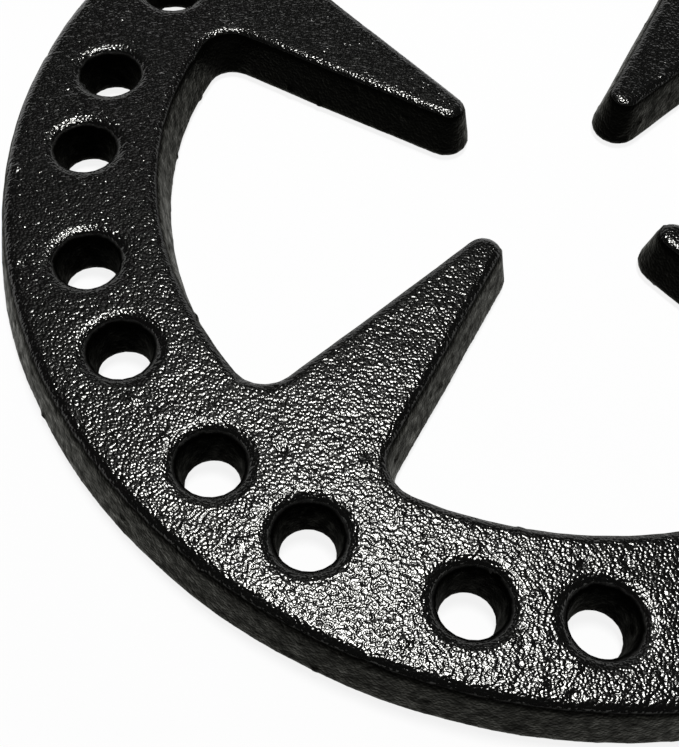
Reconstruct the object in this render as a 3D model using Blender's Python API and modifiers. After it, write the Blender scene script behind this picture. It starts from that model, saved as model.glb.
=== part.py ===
"""Cast-iron hob ring: one flat casting that rests on a gas hob's pan support and carries a small pot.

A flat ring with four prongs that point at its centre, and vent holes in pairs round the rim.
Metres, +Z up. The origin is at the centre of the underside. The prongs lie on the diagonals,
so that the four windows between them face along X and Y.
"""

import math

import bmesh
import bpy
from mathutils import Matrix, Vector

MM = 0.001

# The plate
OUTER_RADIUS = 70.0 * MM  # at the foot of the outer wall
RIM_WIDTH = 21.0 * MM  # from the foot of the outer wall to the foot of the inner wall
THICKNESS = 7.1 * MM
DRAFT_ANGLE = math.radians(11.0)  # every wall leans in by this much, so that the casting leaves its mould
TOP_EDGE_RADIUS = 1.3 * MM
FOOT_EDGE_RADIUS = 0.8 * MM

# The four prongs
PRONG_COUNT = 4
FIRST_PRONG = math.radians(45.0)
PRONG_TIP_REACH = 13.6 * MM  # from the centre of the ring to the nose of each prong
PRONG_TIP_RADIUS = 3.3 * MM
PRONG_HALF_ANGLE = math.radians(9.9)
PRONG_ROOT_FILLET = 3.0 * MM
LEAST_TIP_FLAT = 0.2 * MM  # radius of the flat that the rounded edges leave on a prong's nose

# The vent holes, in pairs midway across the rim
PAIR_COUNT = 12
HOLE_SPACING = 13.2 * MM  # between the two holes of a pair
HOLE_THROAT_RADIUS = 3.5 * MM  # where the rounded mouth ends
HOLE_FOOT_RADIUS = 3.05 * MM  # where the rounding at the underside starts
HOLE_MOUTH_ROUND = 1.7 * MM
HOLE_FOOT_ROUND = 1.3 * MM
LEAST_WALL = 0.4 * MM  # flat that the mouths leave between them and beside them
CUTTER_MARGIN = 0.1 * MM  # how far a cutter runs past each face

# How finely round shapes are faceted
OUTER_STEPS = 120
WINDOW_ARC_STEPS = 14
FILLET_STEPS = 5
TIP_STEPS = 8
FOOT_STEPS = 2
TOP_EDGE_STEPS = 3
HOLE_STEPS = 20
MOUTH_STEPS = 3
HOLE_FOOT_STEPS = 2

IRON_COLOUR = (0.013, 0.013, 0.014, 1.0)
IRON_ROUGHNESS = 0.36
IRON_METALLIC = 0.0


def clear_scene():
    for obj in list(bpy.data.objects):
        bpy.data.objects.remove(obj, do_unlink=True)


def new_collection(name):
    collection = bpy.data.collections.new(name)
    bpy.context.scene.collection.children.link(collection)
    return collection


def coated_iron():
    material = bpy.data.materials.new("coated_iron")
    material.use_nodes = True
    shader = material.node_tree.nodes["Principled BSDF"]
    shader.inputs["Base Color"].default_value = IRON_COLOUR
    shader.inputs["Roughness"].default_value = IRON_ROUGHNESS
    shader.inputs["Metallic"].default_value = IRON_METALLIC
    material.diffuse_color = IRON_COLOUR
    return material


def arc(centre, radius, start, end, steps):
    """Points from angle start to angle end, both included."""
    angles = (start + (end - start) * step / steps for step in range(steps + 1))
    return [centre + radius * Vector((math.cos(angle), math.sin(angle))) for angle in angles]


def inner_radius():
    return OUTER_RADIUS - RIM_WIDTH


def top_edge_radius():
    """The rounding of the top edges, as large as a prong's nose has room for."""
    lean = math.tan(DRAFT_ANGLE)
    room = PRONG_TIP_RADIUS - LEAST_TIP_FLAT - (THICKNESS - FOOT_EDGE_RADIUS) * lean
    return min(TOP_EDGE_RADIUS, room / (1 / math.cos(DRAFT_ANGLE) - lean))


def wall_section():
    """Points (inset, height) up every wall: a rounded foot, a leaning wall and a rounded top edge."""
    radius = top_edge_radius()
    foot_centre = Vector((FOOT_EDGE_RADIUS, FOOT_EDGE_RADIUS))
    foot = arc(foot_centre, FOOT_EDGE_RADIUS, 1.5 * math.pi, math.pi, FOOT_STEPS)
    rise = THICKNESS - FOOT_EDGE_RADIUS - radius
    inset = rise * math.tan(DRAFT_ANGLE) + radius / math.cos(DRAFT_ANGLE)
    top_centre = Vector((inset, THICKNESS - radius))
    top = arc(top_centre, radius, math.pi - DRAFT_ANGLE, math.pi / 2, TOP_EDGE_STEPS)
    return foot + top


def root_fillet_centre():
    """Centre of the fillet at the left root of a prong that lies along +X."""
    side_normal = math.pi / 2 + PRONG_HALF_ANGLE
    tip_centre = PRONG_TIP_REACH + PRONG_TIP_RADIUS
    distance = inner_radius() - PRONG_ROOT_FILLET
    along_normal = PRONG_TIP_RADIUS + PRONG_ROOT_FILLET - tip_centre * math.sin(PRONG_HALF_ANGLE)
    angle = side_normal - math.acos(along_normal / distance)
    return distance * Vector((math.cos(angle), math.sin(angle)))


def half_prong(inset):
    """Outline from the nose of a prong to the window arc beside it, for a prong along +X."""
    side_normal = math.pi / 2 + PRONG_HALF_ANGLE
    tip_centre = Vector((PRONG_TIP_REACH + PRONG_TIP_RADIUS, 0.0))
    fillet_centre = root_fillet_centre()
    window_angle = math.atan2(fillet_centre.y, fillet_centre.x)
    fillet_radius = PRONG_ROOT_FILLET + inset
    nose = arc(tip_centre, PRONG_TIP_RADIUS - inset, math.pi, side_normal, TIP_STEPS // 2)
    fillet = arc(fillet_centre, fillet_radius, side_normal - math.pi, window_angle, FILLET_STEPS)
    return nose + fillet


def opening_outline(inset):
    """The inner edge of the plate: four prongs, joined by arcs of the inner circle."""
    left = half_prong(inset)
    right = [Vector((point.x, -point.y)) for point in reversed(left[1:])]
    pitch = 2 * math.pi / PRONG_COUNT
    start = math.atan2(left[-1].y, left[-1].x)
    window = arc(Vector((0.0, 0.0)), inner_radius() + inset, start, pitch - start, WINDOW_ARC_STEPS)
    points = []
    for prong in range(PRONG_COUNT):
        turn = Matrix.Rotation(FIRST_PRONG + pitch * prong, 2)
        points += [turn @ point for point in right + left + window[1:-1]]
    return points


def rim_outline(inset):
    """The outer edge of the plate."""
    return arc(Vector((0.0, 0.0)), OUTER_RADIUS - inset, 0.0, 2 * math.pi, OUTER_STEPS)[:-1]


def loft(body, outline):
    """Walls that follow the wall section round an outline. Returns its lowest and highest edges."""
    levels = []
    for inset, height in wall_section():
        levels.append([body.verts.new((point.x, point.y, height)) for point in outline(inset)])
    for lower, upper in zip(levels, levels[1:]):
        for number in range(len(lower)):
            body.faces.new((lower[number - 1], lower[number], upper[number], upper[number - 1]))
    ends = []
    for loop in (levels[0], levels[-1]):
        ends.append([body.edges.get((loop[number - 1], loop[number])) for number in range(len(loop))])
    return ends


def add_plate(collection):
    """The ring and its prongs in one piece, before the vent holes are cut."""
    body = bmesh.new()
    rim_foot, rim_top = loft(body, rim_outline)
    opening_foot, opening_top = loft(body, opening_outline)
    bmesh.ops.triangle_fill(body, edges=rim_foot + opening_foot, use_beauty=True)
    bmesh.ops.triangle_fill(body, edges=rim_top + opening_top, use_beauty=True)
    bmesh.ops.recalc_face_normals(body, faces=body.faces)
    mesh = bpy.data.meshes.new("cast_ring")
    body.to_mesh(mesh)
    body.free()
    obj = bpy.data.objects.new("cast_ring", mesh)
    collection.objects.link(obj)
    return obj


def hole_mouth_round():
    """The rounding of a hole's mouth, as large as the flat beside it and its neighbour leave room for."""
    flat_half_width = RIM_WIDTH / 2 - wall_section()[-1].x
    room = min(flat_half_width, HOLE_SPACING / 2) - LEAST_WALL / 2 - HOLE_THROAT_RADIUS
    return min(HOLE_MOUTH_ROUND, room)


def past_the_face(face_end, next_point):
    """The end of a rounding, carried on in a straight line by the cutter's margin."""
    direction = (face_end - next_point).normalized()
    return face_end + direction * (CUTTER_MARGIN / abs(direction.y))


def hole_profile():
    """Right half of a hole's section, from the axis above the plate down to the axis below it."""
    mouth_round = hole_mouth_round()
    mouth_centre = Vector((HOLE_THROAT_RADIUS + mouth_round, THICKNESS - mouth_round))
    mouth = arc(mouth_centre, mouth_round, math.pi / 2, math.pi, MOUTH_STEPS)
    mouth[0] = past_the_face(mouth[0], mouth[1])
    foot_centre = Vector((HOLE_FOOT_RADIUS + HOLE_FOOT_ROUND, HOLE_FOOT_ROUND))
    foot = arc(foot_centre, HOLE_FOOT_ROUND, math.pi, 1.5 * math.pi, HOLE_FOOT_STEPS)
    foot[-1] = past_the_face(foot[-1], foot[-2])
    return [Vector((0.0, mouth[0].y))] + mouth + foot + [Vector((0.0, foot[-1].y))]


def hole_section_mesh():
    points = [(point.x, 0.0, point.y) for point in hole_profile()]
    edges = [(index, index + 1) for index in range(len(points) - 1)]
    mesh = bpy.data.meshes.new("hole_section")
    mesh.from_pydata(points, edges, [])
    return mesh


def hole_centres():
    """Each pair of holes sits evenly about the direction of a prong, or of a step between prongs."""
    circle = OUTER_RADIUS - RIM_WIDTH / 2
    half_angle = math.asin(HOLE_SPACING / 2 / circle)
    for pair in range(PAIR_COUNT):
        middle = FIRST_PRONG + 2 * math.pi / PAIR_COUNT * pair
        for angle in (middle - half_angle, middle + half_angle):
            yield circle * Vector((math.cos(angle), math.sin(angle), 0.0))


def add_hole_cutters(collection):
    section = hole_section_mesh()
    for number, centre in enumerate(hole_centres(), start=1):
        cutter = bpy.data.objects.new(f"hole_cutter_{number:02d}", section)
        cutter.location = centre
        cutter.hide_render = True
        cutter.display_type = "WIRE"
        turning = cutter.modifiers.new("turned", "SCREW")
        turning.steps = HOLE_STEPS
        turning.render_steps = HOLE_STEPS
        turning.use_merge_vertices = True
        turning.merge_threshold = 0.01 * MM
        collection.objects.link(cutter)


def drill_holes(obj, cutters):
    drilled = obj.modifiers.new("vent_holes", "BOOLEAN")
    drilled.operation = "DIFFERENCE"
    drilled.operand_type = "COLLECTION"
    drilled.collection = cutters
    drilled.solver = "EXACT"


def main():
    clear_scene()
    parts = new_collection("hob_ring")
    cutters = new_collection("hole_cutters")
    ring = add_plate(parts)
    add_hole_cutters(cutters)
    drill_holes(ring, cutters)
    ring.data.materials.append(coated_iron())
    ring.data.shade_smooth()
    ring.data.set_sharp_from_angle(angle=math.radians(35.0))


main()
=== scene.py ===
"""Cast-iron hob ring: the looks of the casting, its coating, and the table and light around it."""
import math

import bpy
from mathutils import Matrix, Vector


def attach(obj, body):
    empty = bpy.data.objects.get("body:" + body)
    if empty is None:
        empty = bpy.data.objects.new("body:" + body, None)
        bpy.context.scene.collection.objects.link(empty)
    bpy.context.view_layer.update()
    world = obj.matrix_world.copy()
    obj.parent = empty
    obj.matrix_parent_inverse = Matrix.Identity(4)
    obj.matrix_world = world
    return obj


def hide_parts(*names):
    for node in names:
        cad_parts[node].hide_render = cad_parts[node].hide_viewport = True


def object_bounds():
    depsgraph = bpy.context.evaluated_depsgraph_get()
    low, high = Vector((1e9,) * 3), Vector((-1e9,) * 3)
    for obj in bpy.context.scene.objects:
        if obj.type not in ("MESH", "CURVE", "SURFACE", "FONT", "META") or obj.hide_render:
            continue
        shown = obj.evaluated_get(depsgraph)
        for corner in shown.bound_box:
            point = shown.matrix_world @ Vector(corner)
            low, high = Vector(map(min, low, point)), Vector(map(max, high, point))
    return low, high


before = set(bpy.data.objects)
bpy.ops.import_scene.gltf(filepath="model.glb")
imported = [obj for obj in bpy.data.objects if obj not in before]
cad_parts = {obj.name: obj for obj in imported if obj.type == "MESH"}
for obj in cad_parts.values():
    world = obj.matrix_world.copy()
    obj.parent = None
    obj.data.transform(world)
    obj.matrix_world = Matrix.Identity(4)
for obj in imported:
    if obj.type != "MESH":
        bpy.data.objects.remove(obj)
cad_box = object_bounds()
MM = 0.001


# ---------------------------------------------------------------------------------------------
# Camera. It stands close to the ring, in front and to the left, and looks down on the left half
# of the rim, so that the right half runs out of view.
# ---------------------------------------------------------------------------------------------

def link_to_scene(obj):
    bpy.context.scene.collection.objects.link(obj)
    return obj


looked_at = Vector((-30.7, -23.4, 0.0)) * MM
viewing_distance = 137.6 * MM
turned_right = math.radians(11.4)
looking_down = math.radians(58.0)
tipped = math.radians(4.7)

lens = bpy.data.cameras.new("close_up")
lens.sensor_width = 36.0
lens.lens = 56.2
lens.clip_start = 5 * MM
camera = link_to_scene(bpy.data.objects.new("close_up", lens))
aim = Matrix.Rotation(-turned_right, 4, "Z") @ Matrix.Rotation(math.pi / 2 - looking_down, 4, "X")
stand = looked_at + aim.to_3x3() @ Vector((0.0, 0.0, viewing_distance))
camera.matrix_world = Matrix.Translation(stand) @ aim @ Matrix.Rotation(tipped, 4, "Z")
bpy.context.scene.camera = camera


# ---------------------------------------------------------------------------------------------
# Casting. Grey iron, poured flat in a sand mould and shot-blasted. Its shape is the frame's ring;
# here its facets are melted away, and the mould's sag, lumps and blow holes are worked into it.
# ---------------------------------------------------------------------------------------------

def select_only(obj):
    bpy.ops.object.select_all(action="DESELECT")
    obj.select_set(True)
    bpy.context.view_layer.objects.active = obj


def apply_modifier(obj, name, kind, **settings):
    select_only(obj)
    modifier = obj.modifiers.new(name, kind)
    for setting, value in settings.items():
        setattr(modifier, setting, value)
    bpy.ops.object.modifier_apply(modifier=name)


def sand_texture(name, kind, size, **settings):
    texture = bpy.data.textures.new(name, kind)
    texture.noise_scale = size
    for setting, value in settings.items():
        setattr(texture, setting, value)
    return texture


def keep_only_cores(texture, core, reach):
    """Full at each cell's centre out to core, then fading to nothing at reach, in cells."""
    texture.use_color_ramp = True
    texture.color_ramp.interpolation = "EASE"
    full, none = texture.color_ramp.elements
    full.position, full.color = core, (1.0, 1.0, 1.0, 1.0)
    none.position, none.color = reach, (0.0, 0.0, 0.0, 1.0)


def relieve(obj, texture, height, neutral):
    """Moves the skin by up to height, outwards where the texture is above neutral."""
    apply_modifier(
        obj, texture.name, "DISPLACE",
        texture=texture, strength=height, mid_level=neutral, texture_coords="LOCAL",
    )


skin_cell = 0.4 * MM
most_triangles = 190000
select_only(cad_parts["cast_ring"])
bpy.ops.object.duplicate()
casting = bpy.context.view_layer.objects.active
casting.name = "casting"
casting.data.name = "casting"
bpy.ops.object.mode_set(mode="EDIT")
bpy.ops.mesh.select_all(action="SELECT")
bpy.ops.mesh.remove_doubles(threshold=0.001 * MM)
bpy.ops.object.mode_set(mode="OBJECT")
casting.data.remesh_voxel_size = skin_cell
bpy.ops.object.voxel_remesh()
apply_modifier(casting, "melted_facets", "SMOOTH", factor=0.5, iterations=1)

mould_sag = sand_texture("mould_sag", "CLOUDS", 11 * MM, noise_depth=1)
sand_lumps = sand_texture("sand_lumps", "CLOUDS", 2.4 * MM, noise_depth=2)
blow_holes = sand_texture("blow_holes", "VORONOI", 5.5 * MM)
keep_only_cores(blow_holes, 0.02, 0.14)
pimples = sand_texture("pimples", "VORONOI", 4.1 * MM)
keep_only_cores(pimples, 0.02, 0.17)
relieve(casting, mould_sag, 0.18 * MM, 0.5)
relieve(casting, sand_lumps, 0.06 * MM, 0.5)
relieve(casting, blow_holes, -0.20 * MM, 0.0)
relieve(casting, pimples, 0.20 * MM, 0.0)

# The relief is measured from the frame's faces, so the whole skin is drawn back to the frame's size.
lowest, highest = (Vector(corner) for corner in cad_box)
corners = [v.co for v in casting.data.vertices]
skin_low = Vector([min(c[i] for c in corners) for i in range(3)])
skin_high = Vector([max(c[i] for c in corners) for i in range(3)])
drawn_back = Matrix.Diagonal(
    [(highest[i] - lowest[i]) / (skin_high[i] - skin_low[i]) for i in range(3)]
).to_4x4()
casting.data.transform(Matrix.Translation(lowest) @ drawn_back @ Matrix.Translation(-skin_low))
casting.data.update()
triangles = sum(len(face.vertices) - 2 for face in casting.data.polygons)
apply_modifier(casting, "thinned", "DECIMATE", ratio=most_triangles / triangles)
bpy.ops.object.shade_smooth()
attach(casting, "root")
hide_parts("cast_ring")


# ---------------------------------------------------------------------------------------------
# Finish. Glossy black enamel, thin enough to follow every grain of the sand-cast skin. It lies on
# the flat faces; the walls and the holes get painted shade, a near-black metal colour, and a duller
# gloss, dullest in the holes.
# ---------------------------------------------------------------------------------------------

def add_node(tree, kind, label, **sockets):
    made = tree.nodes.new(kind)
    made.label = label
    for socket, value in sockets.items():
        made.inputs[socket.replace("_", " ")].default_value = value
    return made


def wire(tree, node, output, onward, socket):
    tree.links.new(node.outputs[output], onward.inputs[socket])


def add_math(tree, label, operation, *values):
    made = add_node(tree, "ShaderNodeMath", label)
    made.operation = operation
    for slot, value in enumerate(values):
        if value is not None:
            made.inputs[slot].default_value = value
    return made


def add_range(tree, label, source, output, low, high, to_low, to_high):
    made = add_node(
        tree, "ShaderNodeMapRange", label,
        From_Min=low, From_Max=high, To_Min=to_low, To_Max=to_high,
    )
    made.interpolation_type = "SMOOTHSTEP"
    wire(tree, source, output, made, "Value")
    return made


enamel = (0.0018, 0.0018, 0.0017, 1.0)
# Painted shade: a near-black metal colour that darkens the walls and the holes.
painted_shade_iron = (0.0016, 0.0016, 0.0013, 1.0)
enamel_gloss, iron_gloss, soot_dulling = 0.16, 0.50, 0.42
patchiness = 0.9  # how unevenly the bare iron shines
hole_circle, hole_reach, soot_fade = 59.6 * MM, 5.0 * MM, 0.8 * MM
bare_below, enamelled_above = 0.66, 0.84  # by how flat the skin lies, 1 being flat
raggedness = 0.10

coated_iron = bpy.data.materials.new("coated_iron")
coated_iron.use_nodes = True
tree = coated_iron.node_tree
shader = tree.nodes["Principled BSDF"]
shader.inputs["Specular Tint"].default_value = (0.80, 0.80, 0.765, 1.0)
shader.inputs["IOR"].default_value = 1.6
place = tree.nodes.new("ShaderNodeTexCoord")

# How far the skin is turned from flat, with a ragged edge where the enamel gives way to painted
# shade.
skewed = add_node(tree, "ShaderNodeMapping", "skewed", Rotation=(0.5, 0.9, 0.35))
wire(tree, place, "Object", skewed, "Vector")
turned = tree.nodes.new("ShaderNodeSeparateXYZ")
wire(tree, place, "Normal", turned, "Vector")
steepness = add_math(tree, "steepness", "ABSOLUTE")
wire(tree, turned, "Z", steepness, 0)
runs = add_node(tree, "ShaderNodeTexNoise", "ragged edge", Scale=900.0, Detail=2.0)
wire(tree, skewed, "Vector", runs, "Vector")
ragged = add_math(tree, "ragged edge", "MULTIPLY_ADD", None, raggedness, -raggedness / 2)
wire(tree, runs, "Fac", ragged, 0)
edge = add_math(tree, "enamel edge", "ADD")
wire(tree, steepness, "Value", edge, 0)
wire(tree, ragged, "Value", edge, 1)
# Steep faces turn to metal of the painted-shade colour, so the walls and holes come out near-black.
bare_and_painted_shade = add_range(tree, "bare iron", edge, "Value", bare_below, enamelled_above, 1.0, 0.0)
wire(tree, bare_and_painted_shade, "Result", shader, "Metallic")

# Enamel colour on the flat faces, painted shade on the steep ones.
tint = add_node(tree, "ShaderNodeMix", "enamel or iron painted dark")
tint.data_type = "RGBA"
tint.inputs["A"].default_value = enamel
tint.inputs["B"].default_value = painted_shade_iron
wire(tree, bare_and_painted_shade, "Result", tint, "Factor")
wire(tree, tint, "Result", shader, "Base Color")
polish = add_range(tree, "gloss", bare_and_painted_shade, "Result", 0.0, 1.0, enamel_gloss, iron_gloss)
flattened = add_node(tree, "ShaderNodeVectorMath", "flattened")
flattened.operation = "MULTIPLY"
flattened.inputs[1].default_value = (1.0, 1.0, 0.0)
wire(tree, place, "Object", flattened, 0)
from_centre = add_node(tree, "ShaderNodeVectorMath", "from the centre")
from_centre.operation = "LENGTH"
wire(tree, flattened, "Vector", from_centre, 0)
off_circle = add_math(tree, "off the hole circle", "SUBTRACT", None, hole_circle)
wire(tree, from_centre, "Value", off_circle, 0)
how_far = add_math(tree, "how far off", "ABSOLUTE")
wire(tree, off_circle, "Value", how_far, 0)
in_hole = add_range(
    tree, "in a hole", how_far, "Value", hole_reach, hole_reach + soot_fade, 1.0, 0.0,
)
soot = add_math(tree, "soot in the holes", "MULTIPLY")
wire(tree, in_hole, "Result", soot, 0)
wire(tree, bare_and_painted_shade, "Result", soot, 1)
dulled = add_math(tree, "dulled by soot", "MULTIPLY_ADD", None, soot_dulling)
wire(tree, soot, "Value", dulled, 0)
wire(tree, polish, "Result", dulled, 2)
patches = add_math(tree, "patches", "SUBTRACT", None, 0.5)
wire(tree, runs, "Fac", patches, 0)
bare_patches = add_math(tree, "patches on bare iron", "MULTIPLY")
wire(tree, patches, "Value", bare_patches, 0)
wire(tree, bare_and_painted_shade, "Result", bare_patches, 1)
patchy = add_math(tree, "patchy gloss", "MULTIPLY_ADD", None, patchiness)
wire(tree, bare_patches, "Value", patchy, 0)
wire(tree, dulled, "Value", patchy, 2)
wire(tree, patchy, "Value", shader, "Roughness")

# Grain: soft hollows between the grains, and on them one small dome for each grain of sand.
hollows_per_metre, grains_per_metre = 1300.0, 3000.0
hollow_depth, grain_height = 0.05 * MM, 0.078 * MM
hollows = add_node(tree, "ShaderNodeTexNoise", "hollows", Scale=hollows_per_metre, Detail=0.0)
wire(tree, skewed, "Vector", hollows, "Vector")
hollow_relief = add_node(tree, "ShaderNodeBump", "hollows", Distance=hollow_depth)
wire(tree, hollows, "Fac", hollow_relief, "Height")
grains = add_node(tree, "ShaderNodeTexVoronoi", "grains", Scale=grains_per_metre)
grains.feature = "SMOOTH_F1"
grains.inputs["Smoothness"].default_value = 0.6
wire(tree, skewed, "Vector", grains, "Vector")
domes = add_math(tree, "domes", "POWER", None, 2.0)
wire(tree, grains, "Distance", domes, 0)
grain_relief = add_node(tree, "ShaderNodeBump", "grains", Distance=grain_height)
grain_relief.invert = True
wire(tree, domes, "Value", grain_relief, "Height")
wire(tree, hollow_relief, "Normal", grain_relief, "Normal")
wire(tree, grain_relief, "Normal", shader, "Normal")

casting.data.materials.clear()
casting.data.materials.append(coated_iron)


# ---------------------------------------------------------------------------------------------
# Table. A sheet of white paper, lit from behind so that it stays white under the ring, where the
# ring's shadow is faint, and a low white screen all round it, which the enamel mirrors.
# ---------------------------------------------------------------------------------------------

bpy.ops.object.select_all(action="DESELECT")
table_size = 6.0
bpy.ops.mesh.primitive_plane_add(size=table_size, location=(0.0, 0.0, 0.0))
table = bpy.context.view_layer.objects.active
table.name = "table"
white = (1.0, 1.0, 1.0, 1.0)
glow_share = 0.87
paper = bpy.data.materials.new("paper")
paper.use_nodes = True
tree = paper.node_tree
sheet = tree.nodes["Principled BSDF"]
sheet.inputs["Base Color"].default_value = (0.9, 0.9, 0.9, 1.0)
sheet.inputs["Roughness"].default_value = 0.9
sheet.inputs["Specular IOR Level"].default_value = 0.0
glow = add_node(tree, "ShaderNodeEmission", "white", Color=white, Strength=1.0)
ray = tree.nodes.new("ShaderNodeLightPath")
seen = add_math(tree, "seen or mirrored", "MAXIMUM")
wire(tree, ray, "Is Camera Ray", seen, 0)
wire(tree, ray, "Is Glossy Ray", seen, 1)
seen_at_all = add_math(tree, "or seen through", "MAXIMUM")
wire(tree, seen, "Value", seen_at_all, 0)
wire(tree, ray, "Is Transmission Ray", seen_at_all, 1)
share = add_math(tree, "share of glow", "MULTIPLY", None, glow_share)
wire(tree, seen_at_all, "Value", share, 0)
lit_sheet = tree.nodes.new("ShaderNodeMixShader")
wire(tree, share, "Value", lit_sheet, "Fac")
tree.links.new(sheet.outputs["BSDF"], lit_sheet.inputs[1])
tree.links.new(glow.outputs["Emission"], lit_sheet.inputs[2])
wire(tree, lit_sheet, "Shader", tree.nodes["Material Output"], "Surface")
table.data.materials.append(paper)

screen_radius, screen_height = 2.9, 1.2
bpy.ops.object.select_all(action="DESELECT")
bpy.ops.mesh.primitive_cylinder_add(
    vertices=96, radius=screen_radius, depth=screen_height, end_fill_type="NOTHING",
    location=(0.0, 0.0, screen_height / 2),
)
screen = bpy.context.view_layer.objects.active
screen.name = "screen"
screen.data.materials.append(paper)


# ---------------------------------------------------------------------------------------------
# Light. One round softbox high behind the ring, whose mirror image breaks up into the glints on
# the grain, a wide dim diffuser below it, and a dim, even surround.
# ---------------------------------------------------------------------------------------------

def add_softbox(name, aimed_at, azimuth, elevation, distance, size, power):
    light = bpy.data.lights.new(name, "AREA")
    light.shape = "DISK"
    light.size = size
    light.energy = power
    towards = Vector((
        math.sin(azimuth) * math.cos(elevation),
        math.cos(azimuth) * math.cos(elevation),
        math.sin(elevation),
    ))
    lamp = link_to_scene(bpy.data.objects.new(name, light))
    lamp.location = aimed_at + towards * distance
    lamp.rotation_euler = towards.to_track_quat("Z", "Y").to_euler()


front_of_rim = Vector((-30.0, -58.0, 7.0)) * MM
add_softbox("softbox", front_of_rim, math.radians(14), math.radians(74.5), 0.6, 0.14, 3.5)
add_softbox("diffuser", front_of_rim, math.radians(4), math.radians(60), 0.6, 0.36, 0.12)

surround = 0.04
world = bpy.data.worlds.new("studio")
bpy.context.scene.world = world
world.use_nodes = True
world.node_tree.nodes["Background"].inputs["Color"].default_value = white
world.node_tree.nodes["Background"].inputs["Strength"].default_value = surround

bpy.context.scene.view_settings.view_transform = "Standard"
